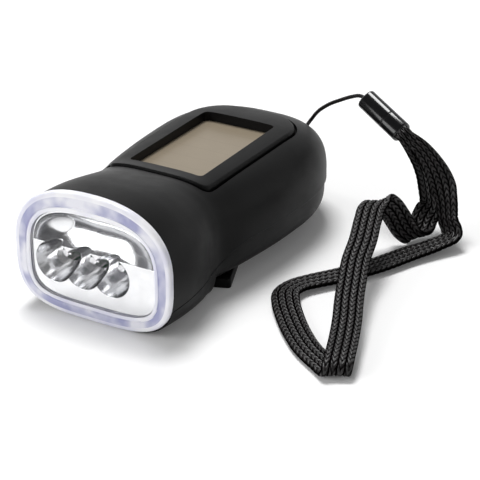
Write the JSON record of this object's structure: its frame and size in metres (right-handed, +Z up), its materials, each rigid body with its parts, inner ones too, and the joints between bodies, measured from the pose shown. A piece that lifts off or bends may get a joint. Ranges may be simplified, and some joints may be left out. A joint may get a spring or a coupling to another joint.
{
  "type": "hand crank flashlight",
  "caption": "Palm-sized torch with a flared clear lens, reflector cups, a solar panel in its back, a folding crank with a gear train and generator below, and a braided wrist strap.",
  "frame": {"origin": "on the ground, under the middle of the torch between lens face and tail", "axes": "+Z up, +Y from the lens towards the tail, +X towards the strap's side"},
  "size_m": [0.1003, 0.1086, 0.0391],
  "materials": {
    "satin_black_shell": "satin moulded plastic",
    "matte_black_plastic": "fine matte",
    "gloss_black_bead": "gloss moulded plastic",
    "solar_glass": "clear resin over thin cells",
    "clear_plastic": "clear polished plastic",
    "bright_plating": "bright vacuum plating",
    "green_board": "solder resist",
    "white_acetal": "smooth moulded",
    "steel": "plain plated steel",
    "magnet": "sintered ferrite",
    "copper_winding": "enamelled copper wire",
    "black_braid": "braided synthetic yarn"
  },
  "bodies": {
    "housing": {"upper_shell": "satin_black_shell", "lower_shell": "satin_black_shell", "solar_bezel": "satin_black_shell", "solar_panel": "solar_glass", "lens": "clear_plastic", "reflector": "bright_plating", "led_board": "green_board", "led_left": "clear_plastic", "led_middle": "clear_plastic", "led_right": "clear_plastic", "gear_plate": "matte_black_plastic", "first_axle": "steel", "second_axle": "steel", "rotor_axle": "steel", "stator_coil": "copper_winding", "generator_can": "steel", "switch_body": "matte_black_plastic", "main_board": "green_board", "cell_holder": "matte_black_plastic", "coin_cell": "steel", "case_screw_front_left": "steel", "case_screw_front_right": "steel", "case_screw_back_left": "steel", "case_screw_back_right": "steel", "plate_screw_left": "steel", "plate_screw_right": "steel", "plate_screw_back": "steel", "lanyard_cord": "black_braid", "lanyard_bead": "gloss_black_bead", "wrist_strap": "black_braid"},
    "crank": {"crank_shaft": "steel", "crank_wheel": "white_acetal", "crank_arm": "satin_black_shell", "knob_pin": "steel", "crank_screw": "steel"},
    "knob": {"crank_knob": "satin_black_shell"},
    "first_gear": {"first_gear": "white_acetal"},
    "second_gear": {"second_gear": "white_acetal"},
    "rotor": {"rotor_pinion": "white_acetal", "magnet_ring": "magnet"},
    "button": {"switch_button": "matte_black_plastic", "switch_plunger": "white_acetal"}
  },
  "joints": [
    {"name": "crank_spin", "type": "hinge", "parent": "housing", "child": "crank", "pos_m": [0, 0.0225, 0], "axis": [0, 0, 1], "continuous": true},
    {"name": "knob_fold", "type": "hinge", "parent": "crank", "child": "knob", "pos_m": [0.01509, -0.01562, 0.0016], "axis": [-0.9298, -0.3681, 0], "range_deg": [0, 90]},
    {"name": "first_spin", "type": "hinge", "parent": "housing", "child": "first_gear", "pos_m": [-0.00698, 0.00333, 0], "axis": [0, 0, 1], "continuous": true},
    {"name": "second_spin", "type": "hinge", "parent": "housing", "child": "second_gear", "pos_m": [0.00881, -0.00242, 0], "axis": [0, 0, 1], "continuous": true},
    {"name": "rotor_spin", "type": "hinge", "parent": "housing", "child": "rotor", "pos_m": [0.00131, -0.01541, 0], "axis": [0, 0, 1], "continuous": true},
    {"name": "button_press", "type": "slide", "parent": "housing", "child": "button", "axis": [1, 0, 0], "range_m": [0, 0.001], "stiffness_N_per_m": 400}
  ],
  "couplings": [
    {"joint": "first_spin", "follows": "crank_spin", "ratio": -4.6667},
    {"joint": "second_spin", "follows": "crank_spin", "ratio": 17.111},
    {"joint": "rotor_spin", "follows": "crank_spin", "ratio": -68.444}
  ]
}
